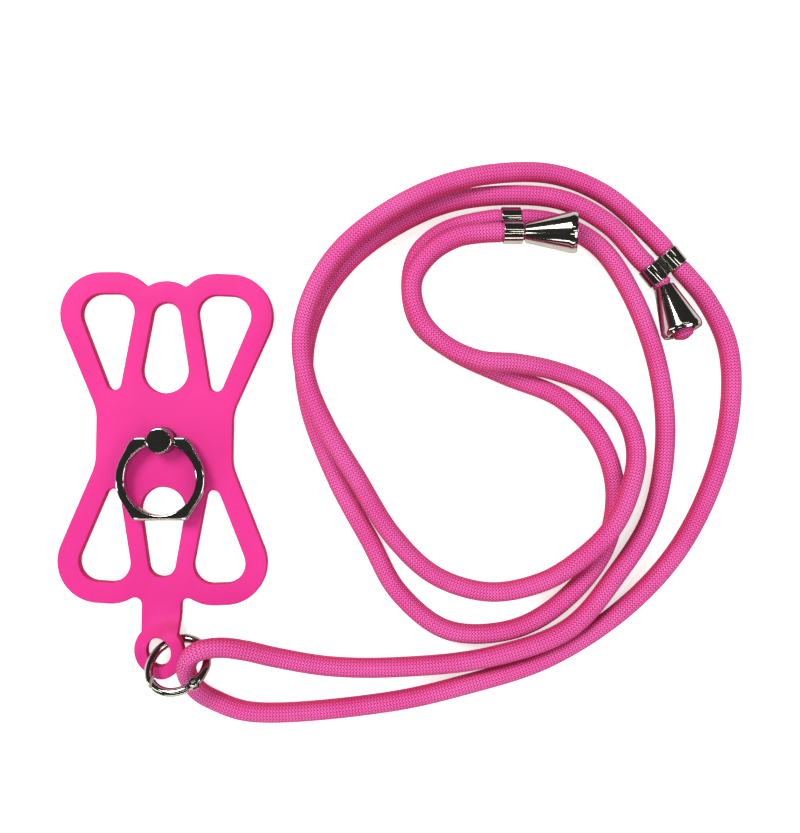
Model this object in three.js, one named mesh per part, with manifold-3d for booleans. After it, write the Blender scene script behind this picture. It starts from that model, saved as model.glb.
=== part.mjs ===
// Lanyard phone case: a stretch silicone holder with four corner loops and a
// tab, a fold-flat finger ring on a swivel, a spring gate ring through the tab,
// and a knitted neck cord with two double-barrel clips and two bell caps.
// Millimetres. The holder lies on its back at z = 0, +Y is towards its top,
// and every place below is counted from the axis of the finger ring's hub.

import * as THREE from 'three';
import { mergeVertices } from 'three/addons/utils/BufferGeometryUtils.js';
import { TessellateModifier } from 'three/addons/modifiers/TessellateModifier.js';
import Module from 'manifold-3d';

const wasm = await Module();
wasm.setup();

const fitGap = 0.3;             // running gap between touching pieces

// silicone holder
const siliconeThickness = 3.0;
const siliconeEdgeRound = 1.2;
const strapWidth = 7.2;         // strap round each corner loop
const waistHalfWidth = 22.6;
const waistTop = 9.6;
const waistBottom = -8.2;
const waistCornerRound = 3.0;
const holderTurn = -1.0;        // degrees, as it lies beside the level finger ring

// corner loops, as circles that a loop's hole is stretched round: [x, y, radius]
const upperLoopOuter = [21.3, 41.4, 6.7];
const upperLoopInner = [16.6, 42.2, 6.0];
const upperLoopTip = [16.9, 18.7, 2.3];
const lowerLoopOuter = [20.9, -40.4, 6.6];
const lowerLoopInner = [16.9, -40.8, 6.4];
const lowerLoopTip = [16.6, -18.6, 2.3];
const upperSlotTop = [0, 40.9, 4.6];
const upperSlotBottom = [0, 23.2, 7.6];
const lowerSlotTop = [0, -22.8, 7.3];
const lowerSlotBottom = [0, -40.7, 4.5];
const notchRound = 1.2;

// tab with its eye, twisted up on the right where the gate ring runs under it
const tabHalfWidth = 6.5;
const tabRootRound = 2.3;
const eyeCentreY = -69.4;
const eyeOuterRadius = 8.8;
const eyeHoleRadius = 4.5;
const tabLift = 3.9;
const tabLiftLeft = -6.0;       // the lift starts here across the tab
const tabLiftRight = 3.6;       // and is full here
const tabLiftStart = -57.0;     // it starts here along the tab
const tabLiftFull = -65.5;

// finger ring mount
const basePlateRadius = 8.5;
const basePlateThickness = 1.2;
const stemRadius = 1.6;
const washerRadius = 4.4;
const washerThickness = 0.6;
const hubRadius = 4.2;
const hubHeight = 4.8;
const hubChamfer = 0.5;
const hubRoof = 1.3;            // metal left above the stem bore
const ringPivotAboveHubFoot = 2.1;

// finger ring
const ringThickness = 3.0;
const ringOuterRadius = 14.55;
const ringInnerRadius = 11.6;
const ringCentreDrop = 12.6;    // ring centre below its pivot
const ringNeckHalfHeight = 1.1;
const ringShoulder = 8.2;        // where the level neck ends
const ringShoulderCorner = [10.1, -0.5];
const ringShoulderAngle = 33;    // where the round begins, in degrees from +X
const ringFlatHalfWidth = 8.8;
const ringFlatDrop = 26.0;      // flat foot below the pivot
const ringChamfer = 0.5;
const ringPinRadius = 0.9;
const ringPinReach = 1.3;       // how far each pin enters the hub

// gate ring
const gateRingRadius = 9.4;     // to the middle of the wire
const gateWireRadius = 1.4;
const gateRingCentre = [6.2, -72.45, 8.4];
const gateRingTilt = 46;        // degrees, low at the tab, high at the foot
const gateRingTurn = 6;
const gateHingeAngle = -50;     // places on the ring, in degrees from +X
const gateNoseAngle = -144;
const noseReach = 16;           // how far the wires run on before their curved cut
const hingeBossRadius = 1.6;
const hingeBossHeight = 2.8;
const tongueThickness = 1.1;
const tongueRadius = 1.2;
const hingePinRadius = 0.5;

// cord and its fittings
const cordDiameter = 6.4;
const barrelOuterRadius = 3.65;
const barrelInnerRadius = 3.2;
const barrelLength = 6.2;
const bellLength = 16.2;
const bellNarrowRadius = 3.25;
const bellMouthRadius = 6.8;
const bellWall = 0.75;
const bellThroatRadius = 2.65;
const bellThroatLength = 3.2;
const bellLip = 0.45;

// Pairs of points: the throat end and the mouth end of each bell cap's axis.
const bellAxis1 = [[118.7, 67.1, 9.6], [134.2, 66.3, 13.4]];
const bellAxis2 = [[165.6, 47.9, 4.9], [169.8, 35.4, 7.6]];
// Each clip: the middle of its two barrels and the direction of the cord there.
const clip1 = { first: [114.4, 67.2, 9.3], second: [114.4, 73, 3.9], along: [1, 0, 0] };
const clip2 = { first: [167.7, 59.8, 3.75], second: [161.6, 54.8, 3.75], along: [0.63, -0.776, 0] };

// The cord from one bell cap to the other: once round the outside, through the
// gate ring, and back. Hand-laid, with its height above the table. A fourth number
// is the radius it is squeezed to, at the two ends of a barrel or a throat.
const cordRoute = [
  [132.6, 66.4, 13.0], [127, 66.7, 11.6], [122.4, 66.9, 10.5, 2.3], [118.3, 67.1, 9.5, 2.3],
  [117.6, 67.2, 9.3, 2.85], [111.2, 67.2, 9.3, 2.85],
  [105.5, 67, 9.4], [96.5, 65.5, 9.8], [88, 60.5, 10.3], [82.5, 53, 10.3], [82, 46, 10.3],
  [85.5, 37.5, 10.3], [93, 30.5, 10.3], [103.5, 26, 10.4], [116, 25, 9], [129.5, 22.5, 5.6],
  [143, 17, 3.9], [151.5, 9, 4], [155, -2.5, 6], [152.5, -14.5, 9.4], [146, -28, 10.4],
  [136, -38.5, 8.6], [124.5, -46.5, 4.8], [107.5, -50, 3.4], [89.5, -44.5, 3.6],
  [75.5, -31, 5.6], [64, -12, 8.6], [54, 5, 10.2], [48, 19.5, 10.4], [46.5, 34, 10.4],
  [50.5, 48.5, 10.3], [59, 61.5, 10.3], [73, 73, 10.1], [90.5, 82, 9.4], [109.5, 86.8, 7.2],
  [129, 87.3, 4.4], [145.5, 81, 3.4], [160.5, 68, 3.6], [165.7, 62.3, 3.75, 2.85], [169.7, 57.3, 3.75, 2.85],
  [178.5, 47, 3.5],
  [186, 31.5, 3.3], [187, 11.5, 3.3], [181.5, -12.5, 3.3], [169, -37, 3.3],
  [150.5, -56.5, 3.3], [126, -72, 3.3], [100, -80.5, 3.3], [73, -86.5, 3.3],
  [28.5, -89.5, 3.3], [16.5, -85.5, 3.4], [12, -82.5, 4.2], [9.5, -78, 6.4],
  [9, -73, 9], [11, -69, 10.3], [14.5, -67, 10.8], [20.5, -66.5, 9.8],
  [28, -68, 8], [37, -71, 5.2], [55, -74.5, 3.5], [78, -74.5, 4.2],
  [107.5, -70.5, 6.4], [133, -61, 6.9], [149, -44, 4.8], [161, -25, 3.4], [165.5, 0, 3.3],
  [163, 24.5, 3.3], [154.3, 48.3, 3.3], [143.5, 64, 3.3], [129.5, 71.5, 3.4], [117.6, 73, 3.9, 2.85], [111.2, 73, 3.9, 2.85],
  [93, 69, 3.4], [84, 61.5, 3.3], [81.5, 50.5, 3.3], [84.5, 38.5, 3.3], [95.5, 29.5, 3.3],
  [112.5, 21.5, 3.3], [131.5, 13.5, 3.3], [144, 0, 3.3], [149, -17, 3.3], [145, -36.5, 3.3],
  [130.5, -54, 3.3], [114.5, -62.5, 3.3], [93.5, -62.5, 3.3], [77.5, -50, 3.3],
  [68, -33, 3.3], [57, -12.5, 3.3], [48, 11.5, 3.3], [46.5, 29.5, 3.3], [51.5, 46, 3.3],
  [62, 60, 3.3], [77, 71, 3.3], [94.5, 78.5, 3.3], [114.5, 80.8, 3.6], [132, 78.4, 5.4],
  [147, 70, 5.6], [156.5, 60, 4.6], [159.6, 57.3, 3.75, 2.85], [163.6, 52.3, 3.75, 2.85],
  [164.7, 50.6, 4.3, 2.3], [166.0, 46.7, 5.15, 2.3],
  [168.2, 40, 6.6], [170.5, 33, 8.1],
];

const degrees = Math.PI / 180;

// Solids

function toSolid(geometry) {
  const bare = geometry.clone();
  bare.deleteAttribute('normal');
  bare.deleteAttribute('uv');
  const merged = mergeVertices(bare, 1e-4);
  const mesh = new wasm.Mesh({
    numProp: 3,
    vertProperties: new Float32Array(merged.attributes.position.array),
    triVerts: new Uint32Array(merged.index.array),
  });
  return new wasm.Manifold(mesh);
}

function toGeometry(solid) {
  const mesh = solid.getMesh();
  const geometry = new THREE.BufferGeometry();
  geometry.setAttribute('position', new THREE.BufferAttribute(new Float32Array(mesh.vertProperties), 3));
  geometry.setIndex(new THREE.BufferAttribute(new Uint32Array(mesh.triVerts), 1));
  geometry.computeVertexNormals();
  return geometry;
}

function cylinderAlong(start, end, radius, sides = 24) {
  const from = new THREE.Vector3(...start);
  const to = new THREE.Vector3(...end);
  const axis = to.clone().sub(from);
  const geometry = new THREE.CylinderGeometry(radius, radius, axis.length(), sides);
  const turn = new THREE.Quaternion().setFromUnitVectors(new THREE.Vector3(0, 1, 0), axis.clone().normalize());
  geometry.applyQuaternion(turn);
  geometry.translate(...from.add(to).multiplyScalar(0.5).toArray());
  return toSolid(geometry);
}

function boxBetween(low, high) {
  const geometry = new THREE.BoxGeometry(high[0] - low[0], high[1] - low[1], high[2] - low[2]);
  geometry.translate((low[0] + high[0]) / 2, (low[1] + high[1]) / 2, (low[2] + high[2]) / 2);
  return toSolid(geometry);
}

function turned(profile, sides = 40) {
  const points = profile.map(([radius, height]) => new THREE.Vector2(radius, height));
  const geometry = new THREE.LatheGeometry(points, sides);
  geometry.rotateX(Math.PI / 2);
  return toSolid(geometry);
}

function named(name, geometry, look) {
  const mesh = new THREE.Mesh(geometry, new THREE.MeshStandardMaterial(look));
  mesh.name = name;
  return mesh;
}

// Outlines

function arcPoints([x, y, radius], from, to, count) {
  const points = [];
  for (let i = 0; i <= count; i++) {
    const angle = from + (to - from) * (i / count);
    points.push(new THREE.Vector2(x + radius * Math.cos(angle), y + radius * Math.sin(angle)));
  }
  return points;
}

// The angle at which a belt leaves one circle for the next, both on its left.
function beltAngle(first, second) {
  const dx = second[0] - first[0];
  const dy = second[1] - first[1];
  return Math.atan2(dy, dx) - Math.acos((first[2] - second[2]) / Math.hypot(dx, dy));
}

// A closed belt round circles given anticlockwise.
function beltPoints(circles, segmentLength) {
  const points = [];
  circles.forEach((circle, i) => {
    const before = circles[(i + circles.length - 1) % circles.length];
    const after = circles[(i + 1) % circles.length];
    const from = beltAngle(before, circle);
    let to = beltAngle(circle, after);
    while (to < from) to += 2 * Math.PI;
    const count = Math.max(2, Math.ceil((to - from) * circle[2] / segmentLength));
    points.push(...arcPoints(circle, from, to, count));
  });
  return points;
}

const mirrored = ([x, y, radius]) => [-x, y, radius];
const grown = ([x, y, radius], by) => [x, y, radius + by];
const angleTo = (circle, point) => Math.atan2(point[1] - circle[1], point[0] - circle[0]);

// The centre of a small round of given radius laid in the notch between two circles,
// on the side given by its sign.
function notchCentre(first, second, radius, side) {
  const a = first[2] + radius;
  const b = second[2] + radius;
  const dx = second[0] - first[0];
  const dy = second[1] - first[1];
  const distance = Math.hypot(dx, dy);
  const along = (a * a - b * b + distance * distance) / (2 * distance);
  const across = side * Math.sqrt(a * a - along * along);
  return [
    first[0] + (dx * along - dy * across) / distance,
    first[1] + (dy * along + dx * across) / distance,
    radius,
  ];
}

// The right half of the holder's outline, from the foot of the eye up to the top.
function rightHalfOutline() {
  const topOuter = grown(upperLoopOuter, strapWidth);
  const topInner = grown(upperLoopInner, strapWidth);
  const topMiddle = grown(upperSlotTop, strapWidth);
  const bottomOuter = grown(lowerLoopOuter, strapWidth);
  const bottomInner = grown(lowerLoopInner, strapWidth);
  const eye = [0, eyeCentreY, eyeOuterRadius];
  const points = [];

  const eyeShoulder = Math.acos(tabHalfWidth / eyeOuterRadius);
  points.push(...arcPoints(eye, -Math.PI / 2, eyeShoulder, 16));

  const rootX = tabHalfWidth + tabRootRound;
  const reach = bottomInner[2] + tabRootRound;
  const rootY = bottomInner[1] - Math.sqrt(reach ** 2 - (rootX - bottomInner[0]) ** 2);
  const root = [rootX, rootY, tabRootRound];
  const rootLeave = angleTo(root, bottomInner);
  points.push(...arcPoints(root, Math.PI, rootLeave, 6));

  const innerStart = angleTo(bottomInner, root);
  const innerLeave = beltAngle(bottomInner, bottomOuter);
  points.push(...arcPoints(bottomInner, innerStart, innerLeave, 8));

  const lowCorner = [waistHalfWidth, waistBottom, 0];
  const outerLeave = beltAngle(bottomOuter, lowCorner);
  points.push(...arcPoints(bottomOuter, beltAngle(bottomInner, bottomOuter), outerLeave, 14));

  points.push(...cornerPoints(points[points.length - 1], lowCorner, [waistHalfWidth, waistTop]));
  const highCorner = [waistHalfWidth, waistTop, 0];
  const outerEnter = beltAngle(highCorner, topOuter);
  const topOuterFirst = arcPoints(topOuter, outerEnter, outerEnter, 1)[0];
  points.push(...cornerPoints([waistHalfWidth, waistBottom], highCorner, topOuterFirst.toArray()));

  points.push(...arcPoints(topOuter, outerEnter, beltAngle(topOuter, topInner), 14));

  const notch = notchCentre(topInner, topMiddle, notchRound, -1);
  points.push(...arcPoints(topInner, beltAngle(topOuter, topInner), angleTo(topInner, notch), 8));
  let notchFrom = angleTo(notch, topInner);
  let notchTo = angleTo(notch, topMiddle);
  while (notchTo > notchFrom) notchTo -= 2 * Math.PI;
  points.push(...arcPoints(notch, notchFrom, notchTo, 4));
  points.push(...arcPoints(topMiddle, angleTo(topMiddle, notch), Math.PI / 2, 5));
  return points;
}

// A soft corner between two straight runs.
function cornerPoints(before, corner, after) {
  const start = Array.isArray(before) ? before : before.toArray();
  const a = new THREE.Vector2(start[0] - corner[0], start[1] - corner[1]).setLength(waistCornerRound);
  const b = new THREE.Vector2(after[0] - corner[0], after[1] - corner[1]).setLength(waistCornerRound);
  const middle = new THREE.Vector2(corner[0], corner[1]);
  return new THREE.QuadraticBezierCurve(a.add(middle), middle, b.add(middle)).getPoints(3);
}

function withoutRepeats(points) {
  return points.filter((point, i) => {
    const next = points[(i + 1) % points.length];
    return point.distanceTo(next) > 0.02;
  });
}

// Silicone holder

function flatHolder() {
  const right = rightHalfOutline();
  const left = right.map((point) => new THREE.Vector2(-point.x, point.y)).reverse();
  const shape = new THREE.Shape(withoutRepeats([...right, ...left]));
  const holes = [
    [upperLoopTip, upperLoopOuter, upperLoopInner],
    [mirrored(upperLoopTip), mirrored(upperLoopInner), mirrored(upperLoopOuter)],
    [lowerLoopTip, lowerLoopInner, lowerLoopOuter],
    [mirrored(lowerLoopTip), mirrored(lowerLoopOuter), mirrored(lowerLoopInner)],
    [upperSlotBottom, upperSlotTop],
    [lowerSlotBottom, lowerSlotTop],
  ];
  for (const circles of holes) {
    shape.holes.push(new THREE.Path(withoutRepeats(beltPoints(circles, 2.0)).reverse()));
  }
  const eye = arcPoints([0, eyeCentreY, eyeHoleRadius], 0, -2 * Math.PI, 22);
  shape.holes.push(new THREE.Path(withoutRepeats(eye)));
  const geometry = new THREE.ExtrudeGeometry(shape, {
    depth: siliconeThickness - 2 * siliconeEdgeRound,
    bevelThickness: siliconeEdgeRound,
    bevelSize: siliconeEdgeRound,
    bevelOffset: -siliconeEdgeRound,
    bevelSegments: 3,
  });
  geometry.translate(0, 0, siliconeEdgeRound);
  return toSolid(geometry);
}

// How far the tab is lifted at a point: its right side rides over the gate ring.
function liftAt(x, y) {
  const across = THREE.MathUtils.smoothstep(x, tabLiftLeft, tabLiftRight);
  const along = 1 - THREE.MathUtils.smoothstep(y, tabLiftFull, tabLiftStart);
  return tabLift * across * along;
}

function siliconeHolder() {
  const flat = flatHolder();
  const [body, tab] = [
    flat.trimByPlane([0, 1, 0], tabLiftStart),
    flat.trimByPlane([0, -1, 0], -tabLiftStart),
  ];
  const loose = toGeometry(tab).toNonIndexed();
  loose.deleteAttribute('normal');
  const fine = new TessellateModifier(2.4, 12).modify(loose);
  const place = fine.attributes.position;
  for (let i = 0; i < place.count; i++) {
    place.setZ(i, place.getZ(i) + liftAt(place.getX(i), place.getY(i)));
  }
  const recess = cylinderAlong([0, 0, -1], [0, 0, basePlateThickness + fitGap], basePlateRadius + fitGap, 40);
  const stemHole = cylinderAlong([0, 0, -1], [0, 0, siliconeThickness + 1], stemRadius + fitGap);
  return toGeometry(body.add(toSolid(fine)).subtract(recess).subtract(stemHole));
}

// Finger ring mount: plate and stem under the silicone, washer and turning hub above it

const washerFoot = siliconeThickness + fitGap;
const hubFoot = washerFoot + washerThickness + fitGap;
const pivotHeight = hubFoot + ringPivotAboveHubFoot;
const boreRoof = hubFoot + hubHeight - hubRoof;

function basePlate() {
  return toGeometry(turned([
    [0, 0],
    [basePlateRadius, 0],
    [basePlateRadius, basePlateThickness],
    [stemRadius, basePlateThickness],
    [stemRadius, boreRoof - fitGap],
    [0, boreRoof - fitGap],
  ]));
}

function washer() {
  return toGeometry(turned([
    [stemRadius + fitGap, washerFoot],
    [washerRadius, washerFoot],
    [washerRadius, washerFoot + washerThickness],
    [stemRadius + fitGap, washerFoot + washerThickness],
    [stemRadius + fitGap, washerFoot],
  ]));
}

function swivelHub() {
  const hubTop = hubFoot + hubHeight;
  const body = turned([
    [0, hubFoot],
    [hubRadius, hubFoot],
    [hubRadius, hubTop - hubChamfer],
    [hubRadius - hubChamfer, hubTop],
    [0, hubTop],
  ]);
  const bore = cylinderAlong([0, 0, hubFoot - 1], [0, 0, boreRoof], stemRadius + fitGap);
  const socketDepth = ringPinReach + fitGap;
  const socketRadius = ringPinRadius + fitGap;
  const sockets = [-1, 1].map((side) => cylinderAlong(
    [side * (hubRadius - socketDepth), 0, pivotHeight],
    [side * (hubRadius + 1), 0, pivotHeight],
    socketRadius,
    16,
  ));
  return toGeometry(body.subtract(bore).subtract(sockets[0]).subtract(sockets[1]));
}

function fingerRing() {
  const centreY = -ringCentreDrop;
  const circle = [0, centreY, ringOuterRadius];
  const shoulderAngle = ringShoulderAngle * degrees;
  const facetAngle = -Math.asin((ringFlatDrop - ringCentreDrop) / 2 / ringOuterRadius);
  const half = [
    new THREE.Vector2(ringFlatHalfWidth, -ringFlatDrop),
    ...arcPoints(circle, facetAngle, shoulderAngle, 10),
    new THREE.Vector2(...ringShoulderCorner),
    new THREE.Vector2(ringShoulder, ringNeckHalfHeight),
  ];
  const outline = [...half, ...half.map((p) => new THREE.Vector2(-p.x, p.y)).reverse()];
  const shape = new THREE.Shape(outline);
  shape.holes.push(new THREE.Path(arcPoints([0, centreY, ringInnerRadius], 0, -2 * Math.PI, 40).slice(0, -1)));
  const geometry = new THREE.ExtrudeGeometry(shape, {
    depth: ringThickness - 2 * ringChamfer,
    bevelThickness: ringChamfer,
    bevelSize: ringChamfer,
    bevelOffset: -ringChamfer,
    bevelSegments: 1,
  });
  geometry.translate(0, 0, ringChamfer - ringThickness / 2);
  const gapHalf = hubRadius + fitGap;
  const hubGap = boxBetween([-gapHalf, -hubRadius, -5], [gapHalf, 5, 5]);
  const pins = [-1, 1].map((side) => cylinderAlong(
    [side * (hubRadius - ringPinReach), 0, 0],
    [side * (gapHalf + 1), 0, 0],
    ringPinRadius,
    16,
  ));
  const ring = toSolid(geometry).subtract(hubGap).add(pins[0]).add(pins[1]);
  return toGeometry(ring);
}

// Gate ring

class RingArc extends THREE.Curve {
  constructor(from, to) {
    super();
    this.from = from * degrees;
    this.to = to * degrees;
  }

  getPoint(t, target = new THREE.Vector3()) {
    const angle = this.from + (this.to - this.from) * t;
    return target.set(gateRingRadius * Math.cos(angle), gateRingRadius * Math.sin(angle), 0);
  }
}

function roundSection(radius, sides) {
  return new THREE.Shape(arcPoints([0, 0, radius], 0, 2 * Math.PI, sides).slice(0, -1));
}

// A round of the ring's own plane about the hinge: the gate's nose swings along it.
function noseSweep(clearance) {
  const radius = 2 * gateRingRadius * Math.sin((gateHingeAngle - gateNoseAngle) / 2 * degrees) + clearance;
  return hingeDisc(radius, 4, 96);
}

function wire(from, to, steps) {
  const path = new RingArc(from, to);
  return toSolid(new THREE.ExtrudeGeometry(roundSection(gateWireRadius, 12), { steps, extrudePath: path }));
}

const onRing = (angle, z = 0) => [
  gateRingRadius * Math.cos(angle * degrees),
  gateRingRadius * Math.sin(angle * degrees),
  z,
];

function hingeDisc(radius, halfHeight, sides = 24) {
  return cylinderAlong(onRing(gateHingeAngle, -halfHeight), onRing(gateHingeAngle, halfHeight), radius, sides);
}

const gateShoulderAngle = gateHingeAngle - (hingeBossRadius + 2 * fitGap) / gateRingRadius / degrees;

function gateRingBody() {
  const boss = hingeDisc(hingeBossRadius, hingeBossHeight / 2);
  const slot = hingeDisc(tongueRadius + 2 * fitGap, tongueThickness / 2 + fitGap);
  const pinHole = hingeDisc(hingePinRadius + fitGap, hingeBossHeight, 14);
  const joinAngle = 360 + gateNoseAngle - noseReach;
  const round = wire(gateHingeAngle, joinAngle, 36);
  const end = wire(joinAngle - 1, joinAngle + 2 * noseReach, 8).subtract(noseSweep(fitGap));
  return toGeometry(round.add(end).add(boss).subtract(slot).subtract(pinHole));
}

function gate() {
  const bow = wire(gateNoseAngle - noseReach, gateShoulderAngle, 16).intersect(noseSweep(0));
  const tongueArc = new RingArc(gateShoulderAngle - 4, gateHingeAngle);
  const strip = new THREE.Shape([
    new THREE.Vector2(-tongueThickness / 2, -tongueRadius * 0.8),
    new THREE.Vector2(tongueThickness / 2, -tongueRadius * 0.8),
    new THREE.Vector2(tongueThickness / 2, tongueRadius * 0.8),
    new THREE.Vector2(-tongueThickness / 2, tongueRadius * 0.8),
  ]);
  const tongue = toSolid(new THREE.ExtrudeGeometry(strip, { steps: 4, extrudePath: tongueArc }));
  const level = boxBetween([-20, -20, -tongueThickness / 2], [20, 20, tongueThickness / 2]);
  const eye = hingeDisc(tongueRadius, tongueThickness / 2);
  const pinHole = hingeDisc(hingePinRadius + fitGap, hingeBossHeight, 14);
  return toGeometry(bow.add(tongue.intersect(level)).add(eye).subtract(pinHole));
}

function gatePin() {
  return toGeometry(hingeDisc(hingePinRadius, hingeBossHeight / 2, 14));
}

// Cord and its fittings

// A smooth route whose stations follow its own points, closer where it bends.
class CordPath extends THREE.CatmullRomCurve3 {
  getPointAt(u, target) {
    return this.getPoint(u, target);
  }

  getTangentAt(u, target) {
    return this.getTangent(u, target);
  }
}

function along(start, direction, distance) {
  const unit = new THREE.Vector3(...direction).normalize();
  return new THREE.Vector3(...start).addScaledVector(unit, distance).toArray();
}

function bellFrame([throat, mouth]) {
  const direction = new THREE.Vector3(...mouth).sub(new THREE.Vector3(...throat)).normalize().toArray();
  return { direction, throat: along(mouth, direction, -bellLength), mouth };
}

// Draws the tube's rings in to their squeezed radius, square to the fitting they sit in.
function squeeze(tube, path) {
  const place = tube.attributes.position;
  const point = new THREE.Vector3();
  for (let first = 0; first < cordRoute.length - 1; first++) {
    if (!cordRoute[first][3]) continue;
    const direction = path.points[first + 1].clone().sub(path.points[first]).normalize();
    for (const station of [first, first + 1]) {
      const centre = path.points[station];
      const tangent = path.getTangent(station / (cordRoute.length - 1));
      for (let i = 0; i < place.count; i++) {
        point.fromBufferAttribute(place, i).sub(centre);
        const off = Math.abs(point.length() - cordDiameter / 2) + Math.abs(point.dot(tangent));
        if (off > 0.01) continue;
        point.addScaledVector(direction, -point.dot(direction)).setLength(cordRoute[station][3]).add(centre);
        place.setXYZ(i, point.x, point.y, point.z);
      }
    }
    first += 1;
  }
  return tube;
}

function cord() {
  const path = new CordPath(cordRoute.map(([x, y, z]) => new THREE.Vector3(x, y, z)));
  const section = roundSection(cordDiameter / 2, 10);
  const tube = new THREE.ExtrudeGeometry(section, { steps: cordRoute.length - 1, extrudePath: path });
  return toGeometry(toSolid(squeeze(tube, path)));
}

function bellCap(axis) {
  const { direction, throat } = bellFrame(axis);
  const innerStart = bellThroatLength;
  const slope = (bellMouthRadius - bellNarrowRadius) / (bellLength - bellLip);
  const innerRadius = (height) => bellNarrowRadius + slope * height - bellWall;
  const shell = turned([
    [bellThroatRadius, 0],
    [bellNarrowRadius, 0],
    [bellMouthRadius, bellLength - bellLip],
    [bellMouthRadius - 0.15, bellLength - 0.12],
    [bellMouthRadius - 0.4, bellLength],
    [innerRadius(bellLength - bellLip), bellLength],
    [Math.max(innerRadius(innerStart + 1), cordDiameter / 2 + fitGap), innerStart + 1.6],
    [bellThroatRadius, innerStart],
    [bellThroatRadius, 0],
  ], 36);
  const geometry = toGeometry(shell);
  const turn = new THREE.Quaternion().setFromUnitVectors(
    new THREE.Vector3(0, 0, 1),
    new THREE.Vector3(...direction),
  );
  geometry.applyQuaternion(turn);
  geometry.translate(...throat);
  return geometry;
}

function clipBody(clip) {
  const half = barrelLength / 2;
  const ends = (middle, extra) => [along(middle, clip.along, -half - extra), along(middle, clip.along, half + extra)];
  const between = clip.first.map((value, i) => (value + clip.second[i]) / 2);
  const web = new THREE.Vector3(...clip.second).sub(new THREE.Vector3(...clip.first));
  const webHalf = web.length() / 2 - barrelInnerRadius - 0.1;
  const webEnds = [along(between, web.toArray(), -webHalf), along(between, web.toArray(), webHalf)];
  const slab = new THREE.BoxGeometry(webHalf * 2, barrelLength * 0.9, 3.4);
  const across = web.clone().normalize();
  const forward = new THREE.Vector3(...clip.along).normalize();
  const up = new THREE.Vector3().crossVectors(across, forward).normalize();
  const basis = new THREE.Matrix4().makeBasis(across, new THREE.Vector3().crossVectors(up, across), up);
  basis.setPosition(...new THREE.Vector3(...webEnds[0]).lerp(new THREE.Vector3(...webEnds[1]), 0.5).toArray());
  slab.applyMatrix4(basis);
  let body = toSolid(slab);
  for (const middle of [clip.first, clip.second]) {
    body = body.add(cylinderAlong(...ends(middle, 0), barrelOuterRadius, 28));
  }
  for (const middle of [clip.first, clip.second]) {
    body = body.subtract(cylinderAlong(...ends(middle, 1), barrelInnerRadius, 24));
  }
  return toGeometry(body);
}

// Looks

const siliconeLook = { color: 0xf53ea0, roughness: 0.5, metalness: 0 };
const darkChromeLook = { color: 0x2b2c2b, roughness: 0.16, metalness: 1 };
const steelLook = { color: 0x8d8d8b, roughness: 0.35, metalness: 1 };
const nylonLook = { color: 0x1c1c1e, roughness: 0.6, metalness: 0 };
const cordLook = { color: 0xe8509c, roughness: 0.85, metalness: 0 };

// Assembly

const holder = named('phone_holder', siliconeHolder(), siliconeLook);
holder.rotation.z = holderTurn * degrees;

const mount = new THREE.Group();
mount.add(named('ring_base_plate', basePlate(), steelLook));
mount.add(named('ring_washer', washer(), nylonLook));
mount.add(named('swivel_hub', swivelHub(), darkChromeLook));
const loop = named('finger_ring', fingerRing(), darkChromeLook);
loop.position.z = pivotHeight;
mount.add(loop);

const gateRing = new THREE.Group();
gateRing.add(named('gate_ring_body', gateRingBody(), darkChromeLook));
gateRing.add(named('gate_ring_gate', gate(), darkChromeLook));
gateRing.add(named('gate_hinge_pin', gatePin(), steelLook));
gateRing.rotation.set(-gateRingTilt * degrees, 0, gateRingTurn * degrees, 'ZYX');
gateRing.position.set(...gateRingCentre);

const casePieces = new THREE.Group();
casePieces.add(holder, mount, gateRing);

const lanyard = new THREE.Group();
lanyard.add(named('lanyard_cord', cord(), cordLook));
lanyard.add(named('cord_clip_1', clipBody(clip1), darkChromeLook));
lanyard.add(named('cord_clip_2', clipBody(clip2), darkChromeLook));
lanyard.add(named('bell_cap_1', bellCap(bellAxis1), darkChromeLook));
lanyard.add(named('bell_cap_2', bellCap(bellAxis2), darkChromeLook));

// The origin sits under the middle of the case, without its cord.
const reach = new THREE.Box3().setFromObject(casePieces, true);
const middle = reach.getCenter(new THREE.Vector3());
const model = new THREE.Group();
model.add(casePieces, lanyard);
model.position.set(-middle.x, -middle.y, -reach.min.z);
model.updateMatrixWorld(true);

const part = new THREE.Group();
part.add(model);
export default part;
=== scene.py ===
import bpy
import bmesh
from math import acos, asin, atan2, cos, hypot, pi, radians, sin, sqrt
from mathutils import Matrix, Vector


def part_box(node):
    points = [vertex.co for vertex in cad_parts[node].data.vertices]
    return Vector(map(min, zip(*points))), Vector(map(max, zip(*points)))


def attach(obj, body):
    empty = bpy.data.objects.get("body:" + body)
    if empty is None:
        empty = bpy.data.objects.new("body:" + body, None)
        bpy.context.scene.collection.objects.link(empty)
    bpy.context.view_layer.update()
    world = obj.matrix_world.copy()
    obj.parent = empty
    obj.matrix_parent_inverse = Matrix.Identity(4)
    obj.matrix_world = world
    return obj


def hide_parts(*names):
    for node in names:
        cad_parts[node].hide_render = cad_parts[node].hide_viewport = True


# a stretch silicone phone holder with a finger ring, on a long knitted neck cord
# lengths are in metres, and places are counted from the hub of the finger ring

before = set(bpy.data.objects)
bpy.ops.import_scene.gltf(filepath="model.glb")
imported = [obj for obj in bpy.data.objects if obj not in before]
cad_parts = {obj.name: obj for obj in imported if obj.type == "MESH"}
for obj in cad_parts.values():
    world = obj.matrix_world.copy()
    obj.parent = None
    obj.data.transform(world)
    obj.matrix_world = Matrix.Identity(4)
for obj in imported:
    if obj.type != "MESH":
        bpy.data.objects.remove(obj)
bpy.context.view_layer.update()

hubLow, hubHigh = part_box("swivel_hub")
hub = Vector(((hubLow[0] + hubHigh[0]) / 2, (hubLow[1] + hubHigh[1]) / 2, 0))

scene = bpy.context.scene
scene.view_settings.view_transform = "Standard"


# camera, straight above the middle of the group

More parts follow.
